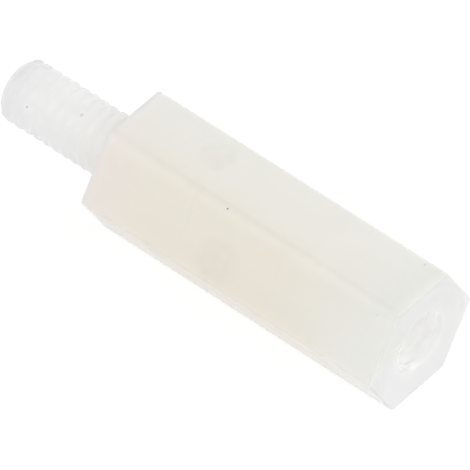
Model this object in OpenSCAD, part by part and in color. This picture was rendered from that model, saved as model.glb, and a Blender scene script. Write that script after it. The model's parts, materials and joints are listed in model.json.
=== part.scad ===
// Male-female hexagonal standoff for M3 screws, moulded in one piece of natural nylon.
// It lies on one of its flats with its axis along X: the threaded socket opens at +X
// and the stud points to -X. The origin is on the axis, in the plane of the shoulder
// that the stud rises from. The fine threads are left plain: the stud is as wide as the
// crests of its thread, and the socket is as narrow as the crests of its own.

/* [Body] */
// Width of the hexagon across its flats, mm
across_flats = 5.5; // [5:0.1:9]
// Length of the hexagonal body, from the shoulder to the open end, mm
body_length = 15; // [12:0.5:40]
// Radius that rounds the six long ridges, mm
ridge_radius = 0.3; // [0.1:0.05:0.6]
// Width of the bevel along the edges of both end faces, mm
end_bevel = 0.1; // [0.05:0.05:0.3]

/* [Stud] */
// Diameter of the stud over the crests of its thread, mm
stud_d = 2.9; // [2.4:0.05:3.4]
// Length of the stud, from the shoulder to its tip, mm
stud_length = 6; // [3:0.5:15]
// Width of the bevel round the stud's tip, mm
tip_bevel = 0.3; // [0.1:0.05:0.5]
// Radius of the fillet where the stud meets the shoulder, mm
root_fillet = 0.25; // [0.1:0.05:0.4]

/* [Socket] */
// Diameter of the socket inside the crests of its thread, mm
socket_d = 2.5; // [2:0.05:3]
// Depth to which the socket keeps its full width, mm
socket_depth = 10; // [4:0.5:10.5]
// Width of the countersink round the socket's mouth, mm
mouth_bevel = 0.15; // [0.05:0.05:0.6]
// Cone angle of the countersink, degrees
mouth_angle = 90; // [60:5:120]
// Cone angle of the socket's bottom, degrees
bottom_angle = 118; // [90:2:150]

/* [Hidden] */

sides = 6;
side_angle = 360 / sides;
half_flats = across_flats / 2;
ridge_centre = (half_flats - ridge_radius) / cos(side_angle / 2);
stud_r = stud_d / 2;
socket_r = socket_d / 2;
mouth_r = socket_r + mouth_bevel;
mouth_depth = mouth_bevel / tan(mouth_angle / 2);
bottom_depth = socket_r / tan(bottom_angle / 2);
// How far the stud is rooted in the body, and a cut runs past the face that it opens
overlap = 0.5;
// Extra radius with which each ridge round crosses its two flats instead of touching them
ridge_crossing = 0.0001;
// Steps of a full turn on the stud and socket, and on the small rounds
round_steps = 96;
small_steps = 48;

// Point where the rounding of ridge k meets the flat after it (side 1) or before it (side -1)
function tangent_point(k, side) =
    ridge_centre * [cos(k * side_angle), sin(k * side_angle)]
    + ridge_radius * [cos((k + side / 2) * side_angle), sin((k + side / 2) * side_angle)];

// Section of the body: a hexagon with rounded corners, with flats at top and bottom
module hexagon_section() {
    polygon([for (k = [0 : sides - 1], side = [-1, 1]) tangent_point(k, side)]);
    for (k = [0 : sides - 1])
        rotate(k * side_angle)
            translate([ridge_centre, 0])
                circle(r = ridge_radius + ridge_crossing, $fn = small_steps);
}

// Slab thicker than the body, whose end faces are bevelled for one pair of flats
module bevelled_slab() {
    waist = half_flats - end_bevel;
    reach = end_bevel + overlap;
    rotate([90, 0, 0])
        linear_extrude(height = 2 * across_flats, center = true)
            polygon([
                [0, -waist], [reach, -waist - reach],
                [body_length - reach, -waist - reach], [body_length, -waist],
                [body_length, waist], [body_length - reach, waist + reach],
                [reach, waist + reach], [0, waist]
            ]);
}

// Hexagonal body, with each pair of flats bevelled along the edges of the end faces
module hexagonal_body() {
    intersection() {
        rotate([90, 0, 90])
            linear_extrude(height = body_length)
                hexagon_section();
        intersection_for (pair = [0 : sides / 2 - 1])
            rotate([pair * side_angle, 0, 0])
                bevelled_slab();
    }
}

// Half section of the stud, radius along X and distance from the shoulder along Y
module stud_profile() {
    fillet_r = stud_r + root_fillet;
    difference() {
        polygon([
            [0, -overlap], [fillet_r, -overlap], [fillet_r, root_fillet],
            [stud_r, root_fillet], [stud_r, stud_length - tip_bevel],
            [stud_r - tip_bevel, stud_length], [0, stud_length]
        ]);
        translate([fillet_r, root_fillet])
            circle(r = root_fillet, $fn = small_steps);
    }
}

// Stud along -X, with a bevelled tip and a fillet at its root
module stud() {
    rotate([0, -90, 0])
        rotate_extrude($fn = round_steps)
            stud_profile();
}

// Space of the blind socket, opening at the far end of the body with a countersink
module socket() {
    translate([body_length, 0, 0])
        rotate([0, -90, 0])
            rotate_extrude($fn = round_steps)
                polygon([
                    [0, -overlap], [mouth_r, -overlap], [mouth_r, 0],
                    [socket_r, mouth_depth], [socket_r, socket_depth],
                    [0, socket_depth + bottom_depth]
                ]);
}

// The whole standoff: body and stud in one solid, with the socket sunk into it
module standoff() {
    color("ghostwhite")
        difference() {
            union() {
                hexagonal_body();
                stud();
            }
            socket();
        }
}

standoff();
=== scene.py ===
import json
import math

import bpy
import numpy as np
from mathutils import Matrix, Vector


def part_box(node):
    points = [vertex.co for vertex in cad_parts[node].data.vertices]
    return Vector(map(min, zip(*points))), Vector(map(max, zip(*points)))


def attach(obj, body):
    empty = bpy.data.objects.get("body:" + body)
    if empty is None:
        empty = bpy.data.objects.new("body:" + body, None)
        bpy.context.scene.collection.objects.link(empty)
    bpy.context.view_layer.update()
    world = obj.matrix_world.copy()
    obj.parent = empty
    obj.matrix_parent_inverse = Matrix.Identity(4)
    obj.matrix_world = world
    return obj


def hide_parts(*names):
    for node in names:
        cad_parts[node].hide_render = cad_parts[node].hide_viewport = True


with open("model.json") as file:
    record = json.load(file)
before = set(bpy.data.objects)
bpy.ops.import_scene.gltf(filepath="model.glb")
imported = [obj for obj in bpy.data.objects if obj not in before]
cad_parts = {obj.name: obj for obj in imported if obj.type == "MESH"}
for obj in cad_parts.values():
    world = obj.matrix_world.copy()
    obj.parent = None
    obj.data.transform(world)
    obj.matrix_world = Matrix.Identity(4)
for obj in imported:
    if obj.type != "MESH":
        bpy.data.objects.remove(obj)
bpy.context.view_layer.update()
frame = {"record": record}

# Lengths and places are in millimetres up to the stage, and MM turns them into the scene's metres
MM = 0.001
NODE = "standoff"
SIDES = 6
side_angle = 2 * math.pi / SIDES

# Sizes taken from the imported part
node_low, node_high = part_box(NODE)
mounts = {mount["name"]: mount for mount in frame["record"]["mounts"]}
body_length = node_high.x / MM
stud_length = -node_low.x / MM
half_flats = node_high.z / MM
stud_r = mounts["stud"]["dims"]["r_mm"]
socket_r = mounts["socket"]["dims"]["r_mm"]
socket_wall = mounts["socket"]["dims"]["length_mm"]
mouth_x = mounts["socket"]["pos_m"][0] / MM
socket_bottom = mouth_x - socket_wall

# Roundings of the moulding, and the cone at the socket's bottom
ridge_radius = 0.3
root_fillet = 0.25
tip_bevel = 0.3
end_round = 0.05
shoulder_round = 0.02
bottom_angle = math.radians(118)
cone_depth = socket_r / math.tan(bottom_angle / 2)

# Each flat is this much hollow between its ridges, as thick mouldings shrink. The hollow sets in
# over sink_reach from either end
flat_sink = 0.015
sink_reach = 2.0

# Coarse M3 thread with the soft crests and roots of a moulding. Starts are in turns. The crest and
# root shares are of the way from crest to root, and the corner share is of the flank between them
pitch = 0.5
crest_inset = 0.04
stud_thread_depth = 0.065
stud_thread_start = 0.28
socket_thread_depth = 0.15
socket_thread_start = 0.667
crest_share = 0.12
root_share = 0.16
corner_share = 0.2
thread_fade = 0.4
socket_fade = 2 * pitch
runout_depth = 0.06
runout_reach = 0.1

# How finely the mesh is cut. Ring shares are of the way out over a face, or of a radius
rings_per_pitch = 14
ridge_points = 9
flat_shares = np.array([0.012, *np.linspace(0.04, 0.96, 15), 0.988])
corner_angles = np.radians([22.5, 45, 67.5, 90])
fillet_angles = np.radians([15, 30, 45, 60, 75, 90])
body_steps = 25
edge_ring = 0.05
tip_ring_shares = (0.25, 0.6, 0.93)
shoulder_ring_shares = (0.04, 0.35, 0.65, 0.96, 1.0)
end_ring_shares = (0.97, 0.65, 0.35, 0.06, 0.003)
bottom_ring_shares = (0.95, 0.6, 0.25)

# Natural nylon: cream where it is thick, clear and neutral where it is thin
warm_tone = (0.922, 0.866, 0.776, 1)
blush_tone = (0.922, 0.860, 0.805, 1)
clear_tone = (0.918, 0.919, 0.875, 1)
pale_tone = (0.94, 0.94, 0.93, 1)
stud_tone = (0.925, 0.915, 0.893, 1)
socket_tone = (0.93, 0.93, 0.905, 1)
nylon_ior = 1.53

# How far light scatters in the body, and how much farther in the stud and in the socket's wall
body_scatter = 0.3
stud_scatter = 10.0
socket_scatter = 5.0
scatter_by_colour = (1.0, 0.97, 0.92)

# How strongly and how sharply the surface mirrors, and the faint waves in it
flat_shine = 0.5
threaded_shine = 0.18
surface_roughness = 0.24
roughness_spread = 0.012
mouth_polish = 0.10
wave_height = 0.004
ripple_share = 0.12

# Painted light: the socket's wall glows, standing in for light that reaches it through the nylon
# past the renderer's limit on bounces
glow_tone = (1.0, 0.985, 0.955, 1)
side_glow = 0.042
low_glow = 0.19
top_glow = 0.12
far_glow = 0.065
bevel_dimming = 0.8

# Scales of the noises, and the shares of light that clouds and mottle take
warmth_scale = 0.35
cloud_scale = 0.5
wave_scale = 1.1
roughness_scale = 1.3
mottle_scale = 2.2
ripple_scale = 7.0
plain_detail = 2.0
mottle_detail = 3.0
warmth_spread = 0.08
cloud_share = 0.006
mottle_share = 0.005
disc_unevenness = 0.35

# Zones of the surface, as spans of the measures that measures_of() makes. A span gives the value
# where the zone is nil and the value where it is full, and may go on to its strengths at the two
high_up = ("z", half_flats - 0.35, half_flats - 0.15)
on_top = (high_up, ("x", -0.3, 0.0))
on_stud = (("x", 0.3, -0.3),)
on_front = (("y", -1.9, -2.3),)
far_from_axis = (("from_axis", half_flats - 0.25, half_flats - 0.15),)
on_end = (("x", body_length - 0.03, body_length - 0.005),)
on_rim = (
    ("x", body_length - 0.08, body_length - 0.05), ("x", body_length, body_length - 0.005),
    *far_from_axis)
in_bore = (("from_axis", 1.43, 1.40),)
past_shoulder = (("x", 1.0, 1.5),)
in_socket = (*in_bore, *past_shoulder, ("x", body_length, body_length - 0.03))
at_mouth = (*in_socket, ("x", body_length - 1.0, body_length - 0.6))
# Lower left of the countersink, where painted shade and a weaker painted glow damp a glint
shaded_bevel = (("y", -0.50, -0.78), ("z", 0.0, -0.3), ("x", body_length - 0.20, body_length - 0.14))
towards_tip = (("x", -0.8, -5.0),)
thick = (("x", -5.2, 0.8), ("x", body_length + 0.3, body_length - 5.8))
blushing = (("x", 3.2, 0.4), ("x", -1.8, -0.2))
near_floor = (("z", -1.2, -2.6, 1.0, 0.25),)
side_to_low_wall = (("z", -0.25, -1.15, side_glow, low_glow),)
depth_and_nearness = (("x", body_length, body_length - 1.1, 0.45, 1.3), ("y", 0.2, 0.9, 1.0, 0.67))
far_upper_wall = (("y", 0.3, 0.8), ("z", -0.85, -0.5), ("x", body_length - 0.1, body_length - 0.4))
wall_top = (("z", 0.5, 0.9),)

# Directions and lines that some of the measures are taken from, and the way towards the front over
# which the nylon gets warmer
front_direction = (0.0, -0.866, -0.5)
upper_front_direction = (0.0, -1.0, 1.4)
ridge_y = -1.45
line_y = -1.38
warming_span = (-3.2, 0.6)

# Painted shade and painted light in broad zones, where the lamps fall: the share of light taken,
# and the zone
# A negative share gives light
painted_broad_shades = {
    "top flat along its front ridge": (0.020, (
        ("from_ridge", 0.35, 0.12), ("x", 9, 12, 1.0, 0.25), *on_top)),
    "line on the front ridge": (0.018, (
        ("from_line", 0.22, 0.05), ("x", 1, 6), high_up, ("mottle", -0.8, 0.8, 0.6, 1.4))),
    "top flat before its front ridge": (0.016, (
        ("y", -0.5, -1.3), ("y", -1.68, -1.45), *on_top)),
    "far side of the top flat": (0.022, (
        ("y", 0.8, 1.5), *on_top)),
    "along the foremost ridge": (0.05, (
        ("z", -1.5, -0.7), ("z", 0.4, -0.4), *on_front)),
    "lower half of the front flat": (0.014, (
        ("z", 1.5, 0.4), ("z", -0.6, 0.2), ("x", 1.5, 3.5), ("x", 13.5, 10.5), *on_front)),
    "edge of the shoulder": (0.055, (
        ("x", 0.35, 0.05), ("z", 2.6, 2.3), ("from_axis", 1.7, 2.4))),
    "upper half of the open end": (0.045, (
        ("x", body_length - 0.01, body_length), ("z", -0.2, 1.4))),
    "rounded edge of the open end": (0.080, on_rim),
    "under side of the stud": (-0.10, (
        ("x", -0.2, -0.8), ("z", 0.7, -0.9))),
    "lowest part of the stud": (-0.04, (
        ("x", -0.6, -1.2), ("z", 0.5, -0.3))),
    "upper part of the stud": (0.028, (
        ("x", -1.2, -2.6), ("z", 0.5, 0.9))),
    "tip of the stud": (-0.06, (
        ("x", -5.2, -5.8),)),
    "lower flats": (-0.030, (
        ("from_axis", 2.5, 2.7), ("z", -1.4, -2.4))),
    "front of the countersink": (0.05, (
        ("from_axis", 1.43, 1.41), *shaded_bevel)),
    "upper front edge of the hole": (0.05, (
        ("from_axis", 1.52, 1.41), ("x", body_length - 0.07, body_length - 0.02),
        ("to_upper_front", -0.4, 0.4))),
}

# Painted shade towards the mouth, of which the stronger holds at each place
painted_mouth_shades = {
    "top flat": (0.045, (("x", body_length - 1.8, body_length - 0.2), *on_top)),
    "all round": (0.030, (("x", body_length - 0.7, body_length - 0.1), *far_from_axis)),
}

# Marks and painted shade on the faces: centre, radius and share of light taken. An edge gives, in
# radii, where a mark is full and where it is nil
sharp_edge = (0.7, 1.3)
soft_edge = (0.3, 1.3)
# Two darker round discs, on the top flat and on the front flat
dark_discs = [((4.12, 0.42, half_flats), 0.75, 0.028), ((6.71, -2.69, 0.85), 0.95, 0.032)]
# Soft darker patches, some of them painted shade as marked below
soft_marks_and_painted_shade = [
    # Darker patches around the first disc
    ((4.48, 0.74, half_flats), 0.30, 0.018),
    ((4.44, -0.02, half_flats), 0.35, 0.014),
    ((3.44, 0.37, half_flats), 0.20, 0.016),
    # Painted shade at the shoulder's edge, and in the next three along the top flat's front ridge
    ((0.05, -1.30, half_flats), 0.25, 0.030),
    ((4.75, -1.37, half_flats), 0.22, 0.020),
    ((4.20, -1.45, half_flats), 0.25, 0.012),
    ((2.57, -1.38, half_flats), 0.28, 0.014),
    # Darker patch on the foremost ridge
    ((6.41, -3.05, 0.22), 0.30, 0.014),
    # Painted shade on the top flat towards the open end
    ((12.8, -0.90, half_flats), 1.80, 0.025),
    # Darker patches on the open end and by its upper front corner
    ((body_length, -0.85, 1.45), 0.10, 0.030),
    ((14.9, -1.87, 2.65), 0.15, 0.020),
    # Painted shade at the far upper corner of the open end
    ((body_length, 2.40, 1.20), 1.10, 0.020),
]
specks = [
    ((6.22, -1.53, 2.76), 0.046, 0.80),
    ((-4.58, -1.20, 0.76), 0.060, 0.42),
    ((-4.43, -0.98, 1.03), 0.050, 0.20),
    ((-2.34, -0.48, 1.34), 0.095, 0.22),
    ((14.03, 1.34, half_flats), 0.060, 0.14),
    ((13.84, 0.31, half_flats), 0.050, 0.05),
    ((14.19, -1.76, 2.45), 0.050, 0.09),
    ((14.98, 3.08, 0.28), 0.050, 0.15),
]

# Thin lines: points, half-widths where a line is full and where it is nil, and share of light taken
hairline = [
    (4.86, -1.42, 2.74), (4.72, -1.66, 2.62), (4.72, -1.95, 2.11),
    (4.75, -2.16, 1.77), (4.81, -2.40, 1.35),
]
# Painted shadow along the lower left of the socket's rim
rim_shadow_line = [(body_length, -1.16, -0.84), (body_length, -0.86, -1.14), (body_length, -0.57, -1.31)]
# Painted glints of the socket's thread: one on the open end beside the mouth, one inside on the
# first crest
upper_painted_glint = [(body_length, -1.80, 0.93), (body_length, -1.27, 0.86)]
lower_painted_glint = [(14.61, 0.36, -1.30), (14.60, -0.46, -1.26)]
thin_lines = [
    (hairline, 0.014, 0.049, 0.0225),
    (rim_shadow_line, 0.018, 0.090, 0.035),
    (upper_painted_glint, 0.021, 0.098, -0.05),
    (lower_painted_glint, 0.021, 0.098, -0.05),
]

# Cream that shows through the open end: its centre, radii where it is full and nil, and strength
cream_centre = (body_length, -1.9, 1.1)
cream_radii = (0.3, 1.7)
cream_strength = 0.8

# Stage, in metres and watts: a floor, and softboxes by direction from the part's middle and power
floor_size = 1.2
floor_paint = (0.95, 0.95, 0.95, 1)
floor_seen_paint = (0.2, 0.2, 0.2, 1)
floor_seen_glow = 0.85
plain_white = (1, 1, 1, 1)
world_tone = (0.8, 0.8, 0.8, 1)
world_light = 0.58
world_seen = 1.0
lamp_distance = 0.3
lamp_size = 0.15
softboxes = {
    "overhead_softbox": ((0.5, 0.0, 1.0), 0.087),
    "back_softbox": ((0.70, 0.60, 0.40), 0.19),
    "high_back_softbox": ((0.2, 1.0, 0.8), 0.148),
    "front_softbox": ((0.1, -1.0, 1.2), 0.217),
    "side_softbox": ((-1.0, -1.0, 0.3), 0.112),
}

# Camera, from the fit to the outline: a long lens that looks down on the front side. Its distance
# is in metres, and its aim is in millimetres from the middle of the body
camera_azimuth = math.radians(-51.10)
camera_elevation = math.radians(47.15)
camera_roll = math.radians(1.92)
camera_distance = 0.5
pixels_per_mm = 25.08
aim_right = -1.604
aim_up = 0.598
image_size = 470
sensor_width = 36.0


# ---------------------------------------------------------------- geometry

def smooth_step(value):
    value = np.clip(value, 0, 1)
    return value * value * (3 - 2 * value)


def section(inset=0.0, sink=0.0):
    """Points of the hexagon's outline in YZ, moved in by inset, with flats hollowed by sink."""
    centre_r = (half_flats - ridge_radius) / math.cos(side_angle / 2)
    half_width = (half_flats - ridge_radius) * math.tan(side_angle / 2)
    arc = np.linspace(-side_angle / 2, side_angle / 2, ridge_points)
    points = []
    for k in range(SIDES):
        turn = k * side_angle
        centre = centre_r * np.array([math.cos(turn), math.sin(turn)])
        for angle in turn + arc:
            outward = np.array([math.cos(angle), math.sin(angle)])
            points.append(centre + (ridge_radius - inset) * outward)
        middle = turn + side_angle / 2
        outward = np.array([math.cos(middle), math.sin(middle)])
        sideways = np.array([-math.sin(middle), math.cos(middle)])
        for share in flat_shares:
            depth = half_flats - inset - sink * math.sin(math.pi * share)
            points.append(outward * depth + sideways * half_width * (2 * share - 1))
    return np.array(points)


# Angles about the axis of the hexagon's points, at which the round rings have theirs too
angles = np.arctan2(section()[:, 1], section()[:, 0])


def circle(radius):
    """Points of a ring, at a radius that is one number or an array with one for each angle."""
    return np.stack([np.cos(angles), np.sin(angles)], 1) * np.reshape(radius, (-1, 1))


def thread_groove(x, start):
    """0 on the thread's crest and 1 in its root, for a right-handed helix, at every angle."""
    turns = x / pitch - angles / (2 * math.pi) + start
    away = np.abs((turns % 1) - 0.5) * 2
    rise = (away - crest_share) / (1 - crest_share - root_share)
    soft = corner_share
    low = np.clip((rise + soft) / (2 * soft), 0, 1) ** 2 * soft
    line = np.where(rise > soft, rise, low)
    high = np.clip((1 - rise + soft) / (2 * soft), 0, 1) ** 2 * soft
    return np.where(rise > 1 - soft, 1 - high, line)


def stud_rings():
    """Rings from the middle of the tip to the foot of the root fillet."""
    tip_r = stud_r - tip_bevel
    crest_r = stud_r - crest_inset
    start = -stud_length
    end = -root_fillet
    for share in tip_ring_shares:
        yield start, circle(share * tip_r)
    count = round((end - start) / pitch * rings_per_pitch)
    for x in np.linspace(start, end, count + 1):
        fade = smooth_step((end - x) / thread_fade)
        groove = stud_thread_depth * thread_groove(x, stud_thread_start) * fade
        runout = runout_depth * (1 - fade) * smooth_step((end - x) / runout_reach)
        bevelled = tip_r + x - start
        yield x, circle(np.minimum(crest_r - groove - runout, bevelled))
    for angle in fillet_angles:
        widened = (root_fillet + crest_inset) * (1 - math.cos(angle))
        yield -root_fillet * (1 - math.sin(angle)), circle(crest_r + widened)


def body_rings():
    """Rings over the shoulder, along the flats and over the open end to the socket's mouth."""
    foot = circle(stud_r + root_fillet)
    outline = section(shoulder_round)
    for share in shoulder_ring_shares:
        yield 0.0, foot + (outline - foot) * share
    for angle in corner_angles:
        inset = shoulder_round * (1 - math.sin(angle))
        yield shoulder_round * (1 - math.cos(angle)), section(inset)
    first = end_round
    last = body_length - end_round
    straight = np.linspace(first, last, body_steps)[1:-1]
    for x in (first + edge_ring, *straight, last - edge_ring):
        sunk = float(smooth_step(min(x - first, last - x) / sink_reach))
        yield x, section(0, flat_sink * sunk)
    for angle in corner_angles[::-1]:
        inset = end_round * (1 - math.sin(angle))
        yield body_length - end_round * (1 - math.cos(angle)), section(inset)
    mouth = circle(socket_radius(body_length))
    outline = section(end_round)
    for share in end_ring_shares:
        yield body_length, mouth + (outline - mouth) * share


def socket_radius(x):
    """Radius of the socket's threaded wall and countersink, at every angle."""
    fade = smooth_step((x - socket_bottom) / socket_fade)
    threaded = socket_r + socket_thread_depth * thread_groove(x, socket_thread_start) * fade
    return np.maximum(threaded, socket_r + max(0.0, x - mouth_x))


def socket_rings():
    """Rings from the socket's mouth down its threaded wall to the middle of its bottom."""
    count = round((body_length - socket_bottom) / pitch * rings_per_pitch)
    for x in np.linspace(body_length, socket_bottom, count + 1):
        yield x, circle(socket_radius(x))
    for share in bottom_ring_shares:
        yield socket_bottom - cone_depth * (1 - share), circle(socket_r * share)


def standoff_mesh():
    """One closed mesh: rings from the stud's tip to the socket's bottom, capped at both ends."""
    rings = [*stud_rings(), *body_rings(), *socket_rings()]
    around = len(angles)
    points = [(-stud_length, 0.0, 0.0)]
    for x, outline in rings:
        points.extend((x, y, z) for y, z in outline)
    points.append((socket_bottom - cone_depth, 0.0, 0.0))
    last = len(points) - 1
    end = last - around
    faces = []
    for j in range(around):
        after = (j + 1) % around
        faces.append((0, 1 + after, 1 + j))
        for i in range(len(rings) - 1):
            here = 1 + i * around
            there = here + around
            faces.append((here + j, here + after, there + after, there + j))
        faces.append((end + j, end + after, last))
    mesh = bpy.data.meshes.new("standoff_moulding")
    mesh.from_pydata((np.array(points) * MM).tolist(), [], faces)
    mesh.validate()
    mesh.shade_smooth()
    return mesh


# ---------------------------------------------------------------- nodes

class Nodes:
    """Short calls that add nodes to the tree of a material or a world and join them."""

    def __init__(self, owner):
        owner.use_nodes = True
        self.tree = owner.node_tree
        self.zones = {}

    def feed(self, target, value):
        """Joins a socket to a socket, or sets a plain value on it."""
        if isinstance(value, bpy.types.NodeSocket):
            self.tree.links.new(value, target)
        else:
            target.default_value = value

    def feed_named(self, node, inputs):
        for name, value in inputs.items():
            self.feed(node.inputs[name], value)
        return node

    def add(self, kind, *values, **settings):
        """Adds a node with these settings and feeds its first inputs in order."""
        node = self.tree.nodes.new(kind)
        for name, value in settings.items():
            setattr(node, name, value)
        for target, value in zip(node.inputs, values):
            self.feed(target, value)
        return node

    def math(self, operation, *values, clamp=False):
        return self.add("ShaderNodeMath", *values, operation=operation, use_clamp=clamp).outputs[0]

    def fold(self, operation, values):
        """Joins any number of values by an operation on two."""
        result, *rest = values
        for value in rest:
            result = self.math(operation, result, value)
        return result

    def vector(self, operation, *values, output="Vector"):
        return self.add("ShaderNodeVectorMath", *values, operation=operation).outputs[output]

    def ramp(self, value, low, high, at_low=0.0, at_high=1.0, smooth=True):
        """Maps value from low..high to at_low..at_high, held beyond both ends."""
        kind = "SMOOTHSTEP" if smooth else "LINEAR"
        node = self.add("ShaderNodeMapRange", interpolation_type=kind)
        ends = {"From Min": low, "From Max": high, "To Min": at_low, "To Max": at_high}
        return self.feed_named(node, {"Value": value, **ends}).outputs[0]

    def noise(self, place, scale, detail=plain_detail):
        """Smooth noise about 0, within about -1..1."""
        inputs = {"Vector": place, "Scale": scale, "Detail": detail}
        node = self.feed_named(self.add("ShaderNodeTexNoise"), inputs)
        return self.math("MULTIPLY_ADD", node.outputs[0], 4.0, -2.0)

    def blend(self, factor, first, second):
        """Mixes two colours, from the first at 0 to the second at 1."""
        node = self.add("ShaderNodeMix", data_type="RGBA")
        inputs = {"Factor": factor, "A": first, "B": second}
        return self.feed_named(node, inputs).outputs["Result"]

    def within(self, at, zone):
        """Strength of a zone: the product of its spans' ramps, made once for each zone."""
        if zone not in self.zones:
            ramps = [self.ramp(at[measure], *span) for measure, *span in zone]
            self.zones[zone] = self.fold("MULTIPLY", ramps)
        return self.zones[zone]

    def near_point(self, place, point, full, nil):
        away = self.vector("DISTANCE", place, point, output="Value")
        return self.ramp(away, nil, full)

    def near_line(self, place, start, end, full, nil):
        along = Vector(end) - Vector(start)
        from_start = self.vector("SUBTRACT", place, start)
        passed = self.vector("DOT_PRODUCT", from_start, along, output="Value")
        share = self.math("DIVIDE", passed, along.length_squared, clamp=True)
        nearest = self.vector("MULTIPLY", along, share)
        away = self.vector("DISTANCE", from_start, nearest, output="Value")
        return self.ramp(away, nil, full)


# ---------------------------------------------------------------- nylon

def measures_of(nodes, place):
    """What zones are stated in: places in millimetres, and the mottle, from about -1 to 1."""
    x, y, z = nodes.add("ShaderNodeSeparateXYZ", place).outputs
    across = nodes.vector("MULTIPLY", place, (0, 1, 1))
    return {
        "x": x,
        "y": y,
        "z": z,
        "from_axis": nodes.vector("LENGTH", across, output="Value"),
        "from_ridge": nodes.math("ABSOLUTE", nodes.math("SUBTRACT", y, ridge_y)),
        "from_line": nodes.math("ABSOLUTE", nodes.math("SUBTRACT", y, line_y)),
        "to_front": nodes.vector("DOT_PRODUCT", place, front_direction, output="Value"),
        "to_upper_front": nodes.vector("DOT_PRODUCT", place, upper_front_direction, output="Value"),
        "mottle": nodes.noise(place, mottle_scale, mottle_detail),
    }


def spots(nodes, place, marks, edge):
    """Shares of light that round marks and round patches of painted shade take."""
    full, nil = edge
    for centre, radius, share in marks:
        mark = nodes.near_point(place, centre, radius * full, radius * nil)
        yield nodes.math("MULTIPLY", mark, share)


def marks_and_painted_shades(nodes, place, mottle):
    """Light taken by clouds, mottle, discs, specks, patches and lines, among them painted shade and
    glints.
    """
    yield nodes.math("MULTIPLY", nodes.noise(place, cloud_scale), cloud_share)
    yield nodes.math("MULTIPLY", mottle, mottle_share)
    uneven = nodes.math("MULTIPLY_ADD", mottle, disc_unevenness, 1.0)
    for mark in spots(nodes, place, dark_discs, sharp_edge):
        yield nodes.math("MULTIPLY", mark, uneven)
    yield from spots(nodes, place, soft_marks_and_painted_shade, soft_edge)
    yield from spots(nodes, place, specks, sharp_edge)
    for points, full, nil, share in thin_lines:
        for start, end in zip(points, points[1:]):
            line = nodes.near_line(place, start, end, full, nil)
            yield nodes.math("MULTIPLY", line, share)


def zone_shades(nodes, at, shades):
    """Shares of light that a table of zones takes."""
    for share, zone in shades.values():
        yield nodes.math("MULTIPLY", nodes.within(at, zone), share)


def nylon_colour(nodes, place, at):
    """Cream in the thick body and neutral towards its ends, with marks and painted shade and light
    on it.
    """
    to_front = nodes.ramp(at["to_front"], *warming_span, smooth=False)
    to_back = nodes.math("SUBTRACT", 1.0, to_front)
    not_far = nodes.math("MULTIPLY_ADD", nodes.within(at, on_stud), to_back, to_front)
    warmth = nodes.math("MULTIPLY", nodes.within(at, thick), not_far)
    warmth = nodes.math("MULTIPLY_ADD", nodes.noise(place, warmth_scale), warmth_spread, warmth)
    cream = nodes.blend(nodes.within(at, blushing), warm_tone, blush_tone)
    colour = nodes.blend(warmth, clear_tone, cream)

    open_end = nodes.math("MAXIMUM", nodes.within(at, on_end), nodes.within(at, in_bore))
    creamy = nodes.near_point(place, cream_centre, *cream_radii)
    not_creamy = nodes.math("MULTIPLY_ADD", creamy, -cream_strength, 1.0)
    pale = nodes.fold("MULTIPLY", (open_end, nodes.within(at, past_shoulder), not_creamy))
    colour = nodes.blend(pale, colour, pale_tone)
    colour = nodes.blend(nodes.within(at, towards_tip), colour, stud_tone)
    colour = nodes.blend(nodes.within(at, in_socket), colour, socket_tone)

    shades = [*marks_and_painted_shades(nodes, place, at["mottle"]), *zone_shades(nodes, at, painted_broad_shades)]
    shades.append(nodes.fold("MAXIMUM", zone_shades(nodes, at, painted_mouth_shades)))
    light_left = nodes.math("SUBTRACT", 1.0, nodes.fold("ADD", shades))
    return nodes.vector("MULTIPLY", colour, light_left)


def nylon_roughness(nodes, place, at):
    """Satin all over, a little uneven, and smoother on the socket's wall at the mouth."""
    rough = nodes.noise(place, roughness_scale)
    rough = nodes.math("MULTIPLY_ADD", rough, roughness_spread, surface_roughness)
    return nodes.math("MULTIPLY_ADD", nodes.within(at, at_mouth), -mouth_polish, rough)


def nylon_shine(nodes, at):
    """Full on the body, weak on the stud, and none on the rounded edge of the open end."""
    weaker = threaded_shine - flat_shine
    shine = nodes.math("MULTIPLY_ADD", nodes.within(at, on_stud), weaker, flat_shine)
    off_rim = nodes.math("SUBTRACT", 1.0, nodes.within(at, on_rim))
    return nodes.math("MULTIPLY", shine, off_rim)


def nylon_normal(nodes, place):
    """Faint waves with a finer ripple on them."""
    ripple = nodes.math("MULTIPLY", nodes.noise(place, ripple_scale), ripple_share)
    waves = nodes.math("ADD", nodes.noise(place, wave_scale), ripple)
    inputs = {"Strength": 1.0, "Distance": wave_height * MM, "Height": waves}
    return nodes.feed_named(nodes.add("ShaderNodeBump"), inputs).outputs[0]


def scatter_depth(nodes, at):
    """Short in the thick body, long in the stud and the socket's wall, shorter near the floor."""
    depth = nodes.math("MULTIPLY", nodes.within(at, in_socket), socket_scatter * MM)
    depth = nodes.math("ADD", depth, body_scatter * MM)
    depth = nodes.math("MULTIPLY_ADD", nodes.within(at, on_stud), stud_scatter * MM, depth)
    return nodes.math("MULTIPLY", depth, nodes.within(at, near_floor))


def socket_glow(nodes, at):
    """Painted light: a glow strongest on the socket's lower wall, weaker at the mouth and on the
    far side.
    """
    undimmed = nodes.math("MULTIPLY_ADD", nodes.within(at, shaded_bevel), -bevel_dimming, 1.0)
    parts = (nodes.within(at, side_to_low_wall), nodes.within(at, depth_and_nearness), undimmed)
    main = nodes.fold("MULTIPLY", parts)
    far = nodes.math("MULTIPLY", nodes.within(at, far_upper_wall), far_glow)
    top = nodes.math("MULTIPLY", nodes.within(at, wall_top), top_glow)
    glow = nodes.fold("MAXIMUM", (main, far, top))
    return nodes.math("MULTIPLY", nodes.within(at, in_socket), glow)


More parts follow.
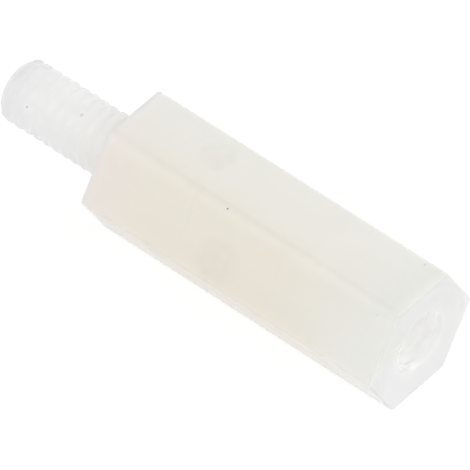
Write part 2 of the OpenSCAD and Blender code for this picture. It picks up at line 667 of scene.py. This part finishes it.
def build_nylon():
    material = bpy.data.materials.new("natural_nylon")
    nodes = Nodes(material)
    metres = nodes.add("ShaderNodeTexCoord").outputs["Object"]
    place = nodes.vector("MULTIPLY", metres, (1 / MM, 1 / MM, 1 / MM))
    at = measures_of(nodes, place)
    nodes.feed_named(nodes.tree.nodes["Principled BSDF"], {
        "Base Color": nylon_colour(nodes, place, at),
        "Roughness": nylon_roughness(nodes, place, at),
        "Specular IOR Level": nylon_shine(nodes, at),
        "Normal": nylon_normal(nodes, place),
        "IOR": nylon_ior,
        "Subsurface Weight": 1.0,
        "Subsurface Radius": scatter_by_colour,
        "Subsurface Scale": scatter_depth(nodes, at),
        "Emission Color": glow_tone,
        "Emission Strength": socket_glow(nodes, at),
    })
    return material


# ---------------------------------------------------------------- stage

def seen_directly(nodes):
    """1 for what the camera sees, straight or in a reflection or through a clear part."""
    path = nodes.add("ShaderNodeLightPath")
    rays = ("Is Camera Ray", "Is Glossy Ray", "Is Transmission Ray")
    return nodes.fold("MAXIMUM", [path.outputs[ray] for ray in rays])


def finish_tree(nodes, output_kind, unseen, seen):
    """Joins a tree's output to one shader for the light it gives and one for how it is seen."""
    directly = seen_directly(nodes)
    mix = nodes.add("ShaderNodeMixShader", directly, unseen.outputs[0], seen.outputs[0])
    output = nodes.add(output_kind)
    nodes.feed(output.inputs["Surface"], mix.outputs[0])


def build_floor():
    half = floor_size / 2
    z = -half_flats * MM
    corners = [(-half, -half, z), (half, -half, z), (half, half, z), (-half, half, z)]
    mesh = bpy.data.meshes.new("floor")
    mesh.from_pydata(corners, [], [(0, 1, 2, 3)])
    floor = bpy.data.objects.new("floor", mesh)
    bpy.context.scene.collection.objects.link(floor)
    material = bpy.data.materials.new("pale_floor")
    nodes = Nodes(material)
    nodes.tree.nodes.clear()
    paint = nodes.add("ShaderNodeBsdfDiffuse", floor_paint)
    faint = nodes.add("ShaderNodeBsdfDiffuse", floor_seen_paint)
    glow = nodes.add("ShaderNodeEmission", plain_white, floor_seen_glow)
    seen = nodes.add("ShaderNodeAddShader", faint.outputs[0], glow.outputs[0])
    finish_tree(nodes, "ShaderNodeOutputMaterial", paint, seen)
    mesh.materials.append(material)


def build_world():
    world = bpy.data.worlds.new("studio")
    bpy.context.scene.world = world
    nodes = Nodes(world)
    nodes.tree.nodes.clear()
    light = nodes.add("ShaderNodeBackground", world_tone, world_light)
    seen = nodes.add("ShaderNodeBackground", world_tone, world_seen)
    finish_tree(nodes, "ShaderNodeOutputWorld", light, seen)


def build_softboxes():
    middle = Vector((body_length / 2 * MM, 0, 0))
    for name, (direction, power) in softboxes.items():
        data = bpy.data.lights.new(name, "AREA")
        data.size = lamp_size
        data.energy = power
        lamp = bpy.data.objects.new(name, data)
        back = Vector(direction).normalized()
        lamp.location = middle + back * lamp_distance
        lamp.rotation_mode = "QUATERNION"
        lamp.rotation_quaternion = back.to_track_quat("Z", "Y")
        bpy.context.scene.collection.objects.link(lamp)


def build_camera():
    level_share = math.cos(camera_elevation)
    back = Vector((
        math.cos(camera_azimuth) * level_share,
        math.sin(camera_azimuth) * level_share,
        math.sin(camera_elevation),
    ))
    level = Vector((-math.sin(camera_azimuth), math.cos(camera_azimuth), 0))
    over = back.cross(level)
    right = level * math.cos(camera_roll) + over * math.sin(camera_roll)
    up = over * math.cos(camera_roll) - level * math.sin(camera_roll)
    data = bpy.data.cameras.new("camera")
    data.sensor_width = sensor_width
    data.lens = pixels_per_mm * camera_distance / MM * sensor_width / image_size
    data.clip_start = 0.01
    data.clip_end = 10
    camera = bpy.data.objects.new("camera", data)
    bpy.context.scene.collection.objects.link(camera)
    aim = Vector((body_length / 2, 0, 0)) + right * aim_right + up * aim_up
    turn = Matrix((right, up, back)).transposed().to_4x4()
    camera.matrix_world = Matrix.Translation(aim * MM + back * camera_distance) @ turn
    bpy.context.scene.camera = camera


# ---------------------------------------------------------------- the scene

scene = bpy.context.scene
scene.view_settings.view_transform = "Standard"

standoff = bpy.data.objects.new("nylon_standoff", standoff_mesh())
scene.collection.objects.link(standoff)
standoff.data.materials.append(build_nylon())
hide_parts(NODE)
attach(standoff, "root")

build_floor()
build_world()
build_softboxes()
build_camera()
